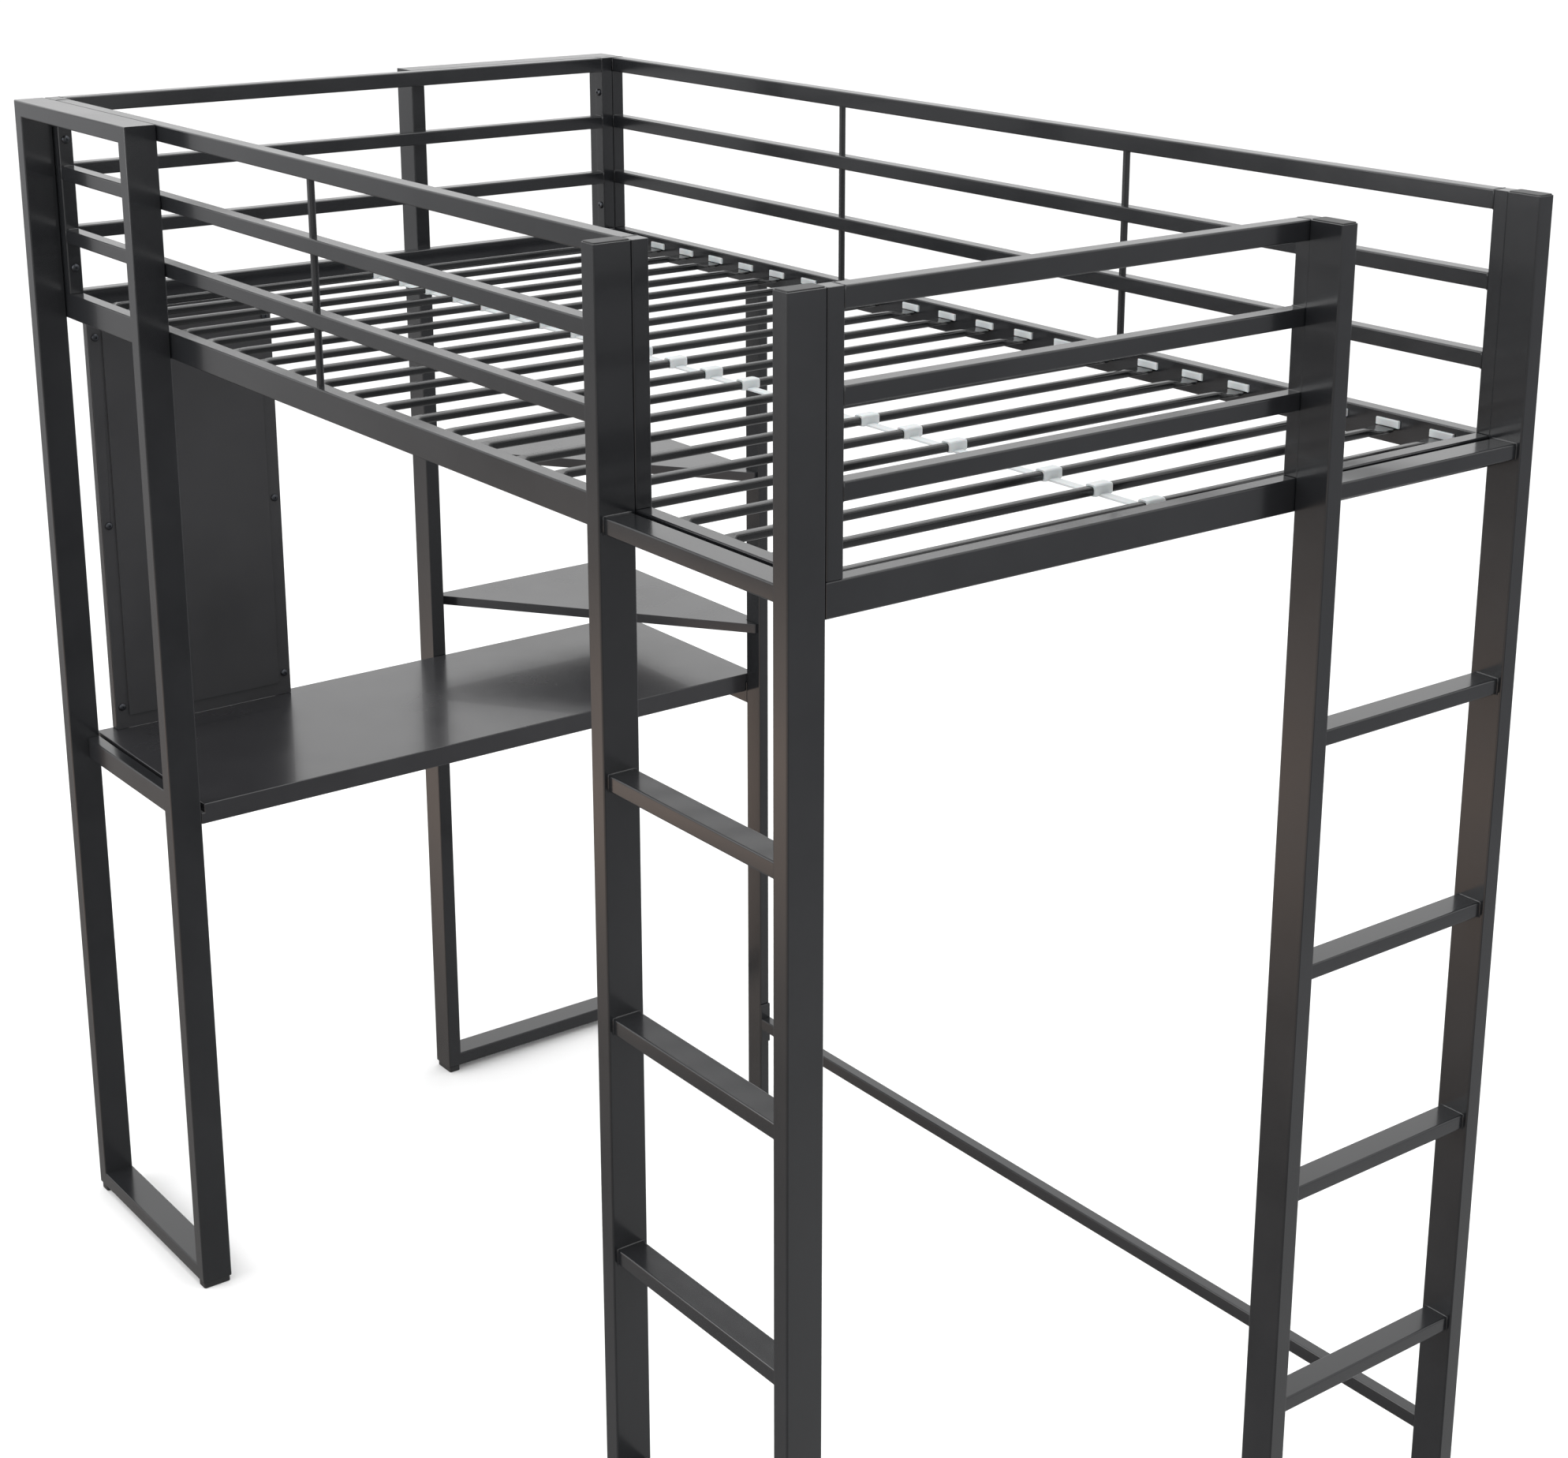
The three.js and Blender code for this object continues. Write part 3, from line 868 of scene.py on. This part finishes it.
class LOFTBED_OT_desk_legs(bpy.types.Operator):
    """Builds the desk leg, the desk's side rails, the long stretcher and the bars behind the board"""

    bl_idname = "loftbed.desk_legs"
    bl_label = "Desk leg, rails and stretcher"

    def execute(self, context):
        sizes = context.scene.loft_bed_sizes
        bars = ("desk_leg", "desk_rail_front", "desk_rail_back", "board_bar_front", "board_bar_back")
        for node in bars:
            low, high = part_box(node)
            bm = bmesh.new()
            add_tube(bm, low, high, sizes.tube_corner)
            mesh = smoothed(mesh_from(bm, node + "_tube"))
            place_piece(node + "_tube", mesh, finish("gloss_powder_coat"), [node])
        node = "long_stretcher"
        low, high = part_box(node)
        plate = 3 * MM
        plate_corner = 0.8 * MM
        middle = (low.z + high.z) / 2
        half = sizes.stretcher_height / 2
        bm = bmesh.new()
        first = (low.x + plate, low.y, middle - half)
        last = (high.x - plate, high.y, middle + half)
        add_tube(bm, first, last, sizes.tube_corner)
        for x in (low.x, high.x - plate):
            add_tube(bm, (x, low.y, low.z), (x + plate, high.y, high.z), plate_corner, axis=2)
        mesh = smoothed(mesh_from(bm, node + "_tube"))
        place_piece(node + "_tube", mesh, finish("gloss_powder_coat"), [node])
        return {"FINISHED"}


class LOFTBED_OT_desk(bpy.types.Operator):
    """Builds the desk top, the two corner shelves and the board behind the desk, with softened folds"""

    bl_idname = "loftbed.desk"
    bl_label = "Desk top, shelves and board"

    def execute(self, context):
        fold_radii = {
            "desk_top": 1.6 * MM,
            "lower_corner_shelf": 0.6 * MM,
            "upper_corner_shelf": 0.6 * MM,
        }
        for node, radius in fold_radii.items():
            mesh = smoothed(softened_copy(node, radius))
            place_piece(node + "_sheet", mesh, finish("gloss_sheet_paint"), [node])
        node = "desk_back_board"
        mesh = smoothed(softened_copy(node, 0.5 * MM))
        place_piece(node + "_sheet", mesh, finish("satin_board_paint"), [node])
        return {"FINISHED"}


def loft(bm, loops):
    """Skins a row of point loops and closes both ends."""
    rings = [[bm.verts.new(point) for point in loop] for loop in loops]
    count = len(rings[0])
    for first, second in zip(rings, rings[1:]):
        for i in range(count):
            j = (i + 1) % count
            bm.faces.new((first[i], first[j], second[j], second[i]))
    bm.faces.new(reversed(rings[0]))
    bm.faces.new(rings[-1])


def slat_mesh(low, high, sizes):
    """One slat: a tube whose two ends are pressed into flat, round-cornered blades."""
    blade = high.x - low.x
    thin = sizes.slat_blade_thickness
    tube = (sizes.slat_width, high.z - low.z)
    # Distance from the end, width and height of the section there.
    half = [
        (0.0, 0.45 * blade, 0.6 * thin),
        (1.5 * MM, 0.66 * blade, thin),
        (4.5 * MM, 0.86 * blade, thin),
        (9 * MM, 0.97 * blade, thin),
        (14 * MM, blade, thin),
        (24 * MM, blade, thin),
        (32 * MM, 0.8 * blade, 0.6 * thin + 0.4 * tube[1] * 0.6),
        (40 * MM, 1.15 * tube[0], 0.92 * tube[1]),
        (46 * MM, *tube),
    ]
    length = high.y - low.y
    stations = half + [(length - place, width, height) for place, width, height in reversed(half)]
    middle = (low + high) / 2
    corner = 3.2 * MM
    loops = []
    for place, width, height in stations:
        section = rounded_section(width, height, corner, 3)
        loops.append([(middle.x + a, low.y + place, middle.z + b) for a, b in section])
    bm = bmesh.new()
    loft(bm, loops)
    return mesh_from(bm, "slat")


class LOFTBED_OT_slats(bpy.types.Operator):
    """Builds the row of slats"""

    bl_idname = "loftbed.slats"
    bl_label = "Slats"

    def execute(self, context):
        low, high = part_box(SLAT_NODES[0])
        last_low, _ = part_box(SLAT_NODES[-1])
        count = len(SLAT_NODES)
        paint = finish("satin_slat_paint")
        mesh = grown(
            slat_mesh(low, high, context.scene.loft_bed_sizes),
            row_tree(),
            {
                "Count": count,
                "Start": (0.0, 0.0, 0.0),
                "Step": ((last_low.x - low.x) / (count - 1), 0.0, 0.0),
                "Material": paint,
            },
            "slat_row",
        )
        place_piece("slat_row", smoothed(mesh, 50), paint, SLAT_NODES)
        return {"FINISHED"}


def saddle_mesh(low, high):
    """One saddle: a moulded bridge over a slat, waisted along its length, a little smaller at its two ends."""
    bm = bmesh.new()
    size = high - low
    middle = (low + high) / 2
    stations = 9
    waist_depth = 0.12
    tip_scale = 0.9
    corner = 3 * MM
    loops = []
    for k in range(stations):
        t = -1 + 2 * k / (stations - 1)
        waist = 1 - waist_depth * (1 - t * t)
        end = tip_scale if k in (0, stations - 1) else 1.0
        section = rounded_section(size.x * waist * end, size.z * end, corner)
        loops.append([(middle.x + a, middle.y + t * size.y / 2, middle.z + b) for a, b in section])
    loft(bm, loops)
    return mesh_from(bm, "saddle")


class LOFTBED_OT_slat_clips(bpy.types.Operator):
    """Builds the white saddles and strap at the middle of the slats, and the white caps at their ends"""

    bl_idname = "loftbed.slat_clips"
    bl_label = "Slat saddles and caps"

    def execute(self, context):
        sizes = context.scene.loft_bed_sizes
        white = finish("white_polypropylene")
        count = len(SLAT_NODES)
        first_low, first_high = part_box(SLAT_NODES[0])
        last_low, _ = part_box(SLAT_NODES[-1])
        pitch = (last_low.x - first_low.x) / (count - 1)
        low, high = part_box("slat_centre_strap")
        width = (first_low.x + first_high.x) / 2 - low.x
        along = Vector((pitch, 0.0, 0.0))
        seed_high = Vector((low.x + 2 * width, high.y, high.z))
        row = {"Start": (0.0, 0.0, 0.0), "Step": along, "Material": white}
        saddle = saddle_mesh(low, seed_high)
        saddles = grown(saddle, row_tree(), {"Count": count, **row}, "saddles")
        middle = (low.y + high.y) / 2
        link = bmesh.new()
        overlap = 2 * MM  # how far a link runs into the saddle at each end
        half_width = 7 * MM
        link_start = (low.x + 2 * width - overlap, middle - half_width, low.z + 0.2 * MM)
        link_end = (low.x + pitch + overlap, middle + half_width, low.z + 3.2 * MM)
        add_tube(link, link_start, link_end, 1 * MM, axis=0)
        link_mesh = mesh_from(link, "strap_link")
        links = grown(link_mesh, row_tree(), {"Count": count - 1, **row}, "strap_links")
        strap = smoothed(merged_meshes([saddles, links], "slat_saddles"), 40)
        place_piece("slat_saddles", strap, white, ["slat_centre_strap"])

        front_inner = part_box("front_guard_panel")[1].y
        back_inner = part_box("back_guard_panel")[0].y
        cap_depth = 3.5 * MM
        cap_sink = 0.5 * MM  # how far a cap runs into the rail behind it
        middle_x = (first_low.x + first_high.x) / 2
        caps = []
        for face, outward in ((front_inner, 1), (back_inner, -1)):
            cap = bmesh.new()
            near, far = sorted((face - outward * cap_sink, face + outward * cap_depth))
            bottom = deck_top() - sizes.slat_cap_drop
            add_tube(
                cap,
                (middle_x - sizes.slat_cap_width / 2, near, bottom),
                (middle_x + sizes.slat_cap_width / 2, far, bottom + sizes.slat_cap_height),
                1.2 * MM,
                axis=0,
            )
            cap_mesh = mesh_from(cap, "slat_cap")
            caps.append(grown(cap_mesh, row_tree(), {"Count": count, **row}, "slat_caps"))
        end_caps = smoothed(merged_meshes(caps, "slat_end_caps"))
        place_piece("slat_end_caps", end_caps, white)
        return {"FINISHED"}


def bolt_head(axis, sign):
    """A low domed head with a six-sided socket, its flat underside at the origin, facing sign along axis."""
    sides = 30
    profile = [(6.0, 0.0), (6.0, 1.2), (5.6, 2.0), (4.6, 2.7), (3.0, 3.1)]  # radius and height, mm
    socket_top, socket_floor = 3.1, 1.2
    bm = bmesh.new()
    loops = []

    def ring(radius_at, height, count):
        loop = []
        for i in range(count):
            angle = 2 * math.pi * i / count
            radius = radius_at(angle) * MM
            point = Vector((radius * math.cos(angle), radius * math.sin(angle), height * MM))
            if axis == "x":
                turned = Vector((point.z * sign, point.x, point.y))
            else:
                turned = Vector((point.x, point.z * sign, point.y))
            loop.append(bm.verts.new(turned))
        return loop

    for radius, height in profile:
        loops.append(ring(lambda angle, r=radius: r, height, sides))

    def hexagon(angle):
        sixth = math.pi / 3
        return 2.0 * math.cos(sixth / 2) / math.cos((angle % sixth) - sixth / 2) * 1.1

    loops.append(ring(hexagon, socket_top, sides))
    loops.append(ring(hexagon, socket_floor, sides))
    for first, second in zip(loops, loops[1:]):
        for i in range(sides):
            j = (i + 1) % sides
            bm.faces.new((first[i], first[j], second[j], second[i]))
    bm.faces.new(loops[0])
    bm.faces.new(loops[-1])
    return mesh_from(bm, "bolt_head")


class LOFTBED_OT_bolts(bpy.types.Operator):
    """Builds the bolt heads: two at each bolted corner and two columns of three on the board"""

    bl_idname = "loftbed.bolts"
    bl_label = "Bolts"

    def execute(self, context):
        steel = finish("black_zinc_steel")
        sink = 3 * MM  # from the head's crown to the face it sits on
        groups = {
            "corner_bolt_front": ("x", 1),
            "corner_bolt_back": ("y", -1),
            "board_bolt_front": ("x", 1),
            "board_bolt_back": ("x", 1),
        }
        for prefix, (axis, sign) in groups.items():
            nodes = [name for name in BOLT_NODES if name.startswith(prefix)]
            places = []
            for node in nodes:
                low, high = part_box(node)
                centre = (low + high) / 2
                index = 0 if axis == "x" else 1
                centre[index] = high[index] - sink if sign > 0 else low[index] + sink
                places.append(centre)
            step = places[1] - places[0]
            mesh = grown(
                bolt_head(axis, sign),
                row_tree(),
                {"Count": len(nodes), "Start": places[0], "Step": step, "Material": steel},
                prefix + "_heads",
            )
            place_piece(prefix + "_heads", smoothed(mesh, 40), steel, nodes)
        return {"FINISHED"}


class LOFTBED_OT_feet(bpy.types.Operator):
    """Builds the plastic feet under the posts and the caps in the ladder posts' open tops"""

    bl_idname = "loftbed.feet"
    bl_label = "Feet and caps"

    def execute(self, context):
        sizes = context.scene.loft_bed_sizes
        plastic = finish("black_polypropylene")
        foot_corner, cap_corner = 3 * MM, 2.5 * MM
        cap_margin = Vector((1.2 * MM, 1.2 * MM, 0))
        cap_sink, cap_rise = 0.5 * MM, 1.4 * MM
        bm = bmesh.new()
        for node in FOOT_NODES:
            low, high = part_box(node)
            add_tube(bm, low, high, foot_corner, axis=2)
        mesh = smoothed(mesh_from(bm, "feet"))
        place_piece("feet", mesh, plastic, FOOT_NODES)
        caps = bmesh.new()
        for node, axis in (("front_ladder", 0), ("end_ladder", 1)):
            low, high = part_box(node)
            for start in (low[axis], high[axis] - sizes.post_thickness):
                first, last = Vector(low), Vector(high)
                first[axis], last[axis] = start, start + sizes.post_thickness
                first += cap_margin
                last -= cap_margin
                first.z, last.z = high.z - cap_sink, high.z + cap_rise
                add_tube(caps, first, last, cap_corner, axis=2)
        mesh = smoothed(mesh_from(caps, "post_caps"))
        place_piece("post_caps", mesh, plastic)
        return {"FINISHED"}


class LOFTBED_OT_welds(bpy.types.Operator):
    """Lays the weld beads where the rungs and guard rails meet their posts and uprights"""

    bl_idname = "loftbed.welds"
    bl_label = "Weld beads"

    def execute(self, context):
        sizes = context.scene.loft_bed_sizes
        lines = []
        shy = Vector((0.6 * MM, 0.6 * MM, 0.6 * MM))  # the upright's rounded edges leave this much
        for node, axis in (("front_ladder", 0), ("end_ladder", 1)):
            first, last = LOFTBED_OT_ladders.top_rung(node, axis, sizes)
            for i in range(sizes.rung_count):
                drop = Vector((0.0, 0.0, i * sizes.rung_pitch))
                lines += end_welds(first - drop, last - drop, axis)
        for node, axis in PANEL_AXES.items():
            bars = panel_bars(node, axis, guard_span(node), sizes)
            for first, last in bars[3:]:  # the guard rails, after the deck rail and two uprights
                inner_first, inner_last = first + shy, last - shy
                inner_first[axis], inner_last[axis] = first[axis], last[axis]
                lines += end_welds(inner_first, inner_last, axis)
        paint = finish("gloss_powder_coat")
        mesh = grown(
            welds_mesh(lines, "weld_lines"),
            bead_tree(),
            {"Radius": sizes.weld_bead, "Seed": 4.0, "Material": paint},
            "weld_beads",
        )
        place_piece("weld_beads", smoothed(mesh, 80), paint)
        return {"FINISHED"}


# ---- Stage ----


def area_light(name, place, target, size, power, tint="#FFFFFF"):
    data = bpy.data.lights.new(name, "AREA")
    data.shape = "RECTANGLE"
    data.size, data.size_y = size
    data.energy = power
    data.color = colour(tint)[:3]
    lamp = bpy.data.objects.new(name, data)
    lamp.location = place
    lamp.rotation_euler = (Vector(target) - Vector(place)).to_track_quat("-Z", "Y").to_euler()
    bpy.context.scene.collection.objects.link(lamp)
    return lamp


class LOFTBED_OT_stage(bpy.types.Operator):
    """Lays the plain pale floor, hangs the soft lights and sets the camera"""

    bl_idname = "loftbed.stage"
    bl_label = "Stage"

    def execute(self, context):
        scene = context.scene
        self.floor(scene)
        self.world(scene)
        area_light("key_softbox", (-1.5, -5.0, 2.6), (0.0, 0.0, 1.0), (4.0, 3.0), 150)
        area_light("top_softbox", (0.0, 0.3, 4.6), (0.0, 0.0, 0.0), (4.5, 3.5), 90)
        area_light("end_fill", (5.2, 1.0, 2.4), (0.0, 0.0, 1.2), (3.0, 3.0), 15)
        self.camera(scene)
        scene.view_settings.view_transform = "Standard"
        return {"FINISHED"}

    @staticmethod
    def floor(scene):
        """Matt white vinyl, rolled out flat."""
        bm = bmesh.new()
        bmesh.ops.create_circle(bm, cap_ends=True, radius=30.0, segments=96)
        mesh = bpy.data.meshes.new("floor")
        bm.to_mesh(mesh)
        bm.free()
        floor = bpy.data.objects.new("floor", mesh)
        floor.location.z = SOLID_BOX[0].z - 0.2 * MM
        scene.collection.objects.link(floor)
        material, tree = finish_named("matt_white_vinyl")
        shader = add_node(
            tree,
            "ShaderNodeBsdfPrincipled",
            {"Base Color": tuple(scene.loft_bed_colours.floor), "Roughness": 0.85, "Specular IOR Level": 0.2},
        )
        add_node(tree, "ShaderNodeOutputMaterial", {"Surface": shader.outputs["BSDF"]})
        mesh.materials.append(material)
        floor.visible_glossy = False  # the paint mirrors the studio below the horizon, not this floor

    @staticmethod
    def world(scene):
        """A white studio above the horizon. Below it, what the gloss paint mirrors: a dim floor
        with a warm, sunlit strip in front of the bed.
        """
        world = bpy.data.worlds.new("studio")
        world.use_nodes = True
        tree = world.node_tree
        tree.nodes.clear()
        place = add_node(tree, "ShaderNodeTexCoord")
        sides = add_node(tree, "ShaderNodeSeparateXYZ", {"Vector": place.outputs["Generated"]})
        down = add_node(
            tree,
            "ShaderNodeMapRange",
            {"Value": sides.outputs["Z"], "From Min": 0.0, "From Max": -1.0, "To Min": 0.0, "To Max": 1.0},
        ).outputs["Result"]
        up = sides.outputs["Z"]
        # What each side shows. All but the last run from the horizon (0) to straight down (1).
        bands = {
            "front": (
                down,
                (0.10, "#949495"),
                (0.20, "#7F7F7F"),
                (0.28, "#857F7B"),
                (0.36, "#E6CDBC"),
                (0.43, "#6E6A66"),
                (0.55, "#6C6B6B"),
            ),
            "front_far": (down, (0.12, "#9B9B9C"), (0.24, "#8D8C8C"), (0.38, "#726F6D"), (0.55, "#6E6D6C")),
            "end": (down, (0.15, "#7C7C7E"), (0.35, "#838385"), (0.50, "#9C9C9C")),
            "far_end": (down, (0.15, "#525253"), (0.35, "#525253"), (0.50, "#6A6A69")),
            "above": (up, (0.12, "#B2B2B2"), (0.34, "#CCCCCC"), (0.9, "#C0C0C0")),
        }
        shades = {}
        for name, (factor, *stops) in bands.items():
            band = add_node(tree, "ShaderNodeValToRGB", {"Fac": factor})
            for stop, _ in stops[2:]:
                band.color_ramp.elements.new(stop)
            for element, (stop, shade) in zip(band.color_ramp.elements, stops):
                element.position = stop
                element.color = colour(shade)
            shades[name] = band.outputs["Color"]
        # Each row blends its second shade over its first while the direction runs from start to end.
        blends = (
            ("ends", "Y", 0.3, 0.6, "far_end", "end"),
            ("fronts", "Y", -0.38, -0.5, "front_far", "front"),
            ("below", "Y", 0.15, -0.15, "ends", "fronts"),
            ("room", "Z", -0.1, -0.02, "below", "above"),
        )
        for name, direction, start, end, first, second in blends:
            share = add_node(
                tree,
                "ShaderNodeMapRange",
                {
                    "Value": sides.outputs[direction],
                    "From Min": start,
                    "From Max": end,
                    "To Min": 0.0,
                    "To Max": 1.0,
                },
                interpolation_type="SMOOTHSTEP",
            )
            blend = add_node(
                tree,
                "ShaderNodeMixRGB",
                {"Fac": share.outputs["Result"], "Color1": shades[first], "Color2": shades[second]},
            )
            shades[name] = blend.outputs["Color"]
        back = add_node(tree, "ShaderNodeBackground", {"Color": shades["room"], "Strength": 2.2})
        add_node(tree, "ShaderNodeOutputWorld", {"Surface": back.outputs["Background"]})
        scene.world = world

    @staticmethod
    def camera(scene):
        """The view from above the ladder end, over the front corner."""
        data = bpy.data.cameras.new("view")
        data.sensor_width = 36.0
        data.lens = 61.3
        data.shift_y = -0.11
        data.dof.use_dof = False
        camera = bpy.data.objects.new("view", data)
        camera.location = (2.984, -2.056, 2.320)
        yaw, pitch = 2.4981, -0.2862
        forward = Vector(
            (math.cos(pitch) * math.cos(yaw), math.cos(pitch) * math.sin(yaw), math.sin(pitch))
        )
        camera.rotation_euler = forward.to_track_quat("-Z", "Y").to_euler()
        scene.collection.objects.link(camera)
        scene.camera = camera


# ---- Panel and registration ----

STEPS = (
    LOFTBED_OT_guard_panels,
    LOFTBED_OT_leg_frames,
    LOFTBED_OT_ladders,
    LOFTBED_OT_desk_legs,
    LOFTBED_OT_desk,
    LOFTBED_OT_slats,
    LOFTBED_OT_slat_clips,
    LOFTBED_OT_bolts,
    LOFTBED_OT_feet,
    LOFTBED_OT_welds,
    LOFTBED_OT_stage,
)


class LOFTBED_PT_builder(bpy.types.Panel):
    """Lists the bed's build steps and its settings"""

    bl_idname = "LOFTBED_PT_builder"
    bl_label = "Loft Bed"
    bl_space_type = "VIEW_3D"
    bl_region_type = "UI"
    bl_category = "Loft Bed"

    def draw(self, context):
        layout = self.layout
        for step in STEPS:
            layout.operator(step.bl_idname)
        for group in (context.scene.loft_bed_sizes, context.scene.loft_bed_colours):
            column = layout.column()
            for name in group.__annotations__:
                column.prop(group, name)


CLASSES = (LoftBedSizes, LoftBedColours, *STEPS, LOFTBED_PT_builder)


def register():
    for cls in CLASSES:
        bpy.utils.register_class(cls)
    bpy.types.Scene.loft_bed_sizes = bpy.props.PointerProperty(type=LoftBedSizes)
    bpy.types.Scene.loft_bed_colours = bpy.props.PointerProperty(type=LoftBedColours)


def unregister():
    del bpy.types.Scene.loft_bed_colours
    del bpy.types.Scene.loft_bed_sizes
    for cls in reversed(CLASSES):
        bpy.utils.unregister_class(cls)


def main():
    register()
    for step in STEPS:
        group, name = step.bl_idname.split(".")
        getattr(getattr(bpy.ops, group), name)()


if __name__ == "__main__":
    main()
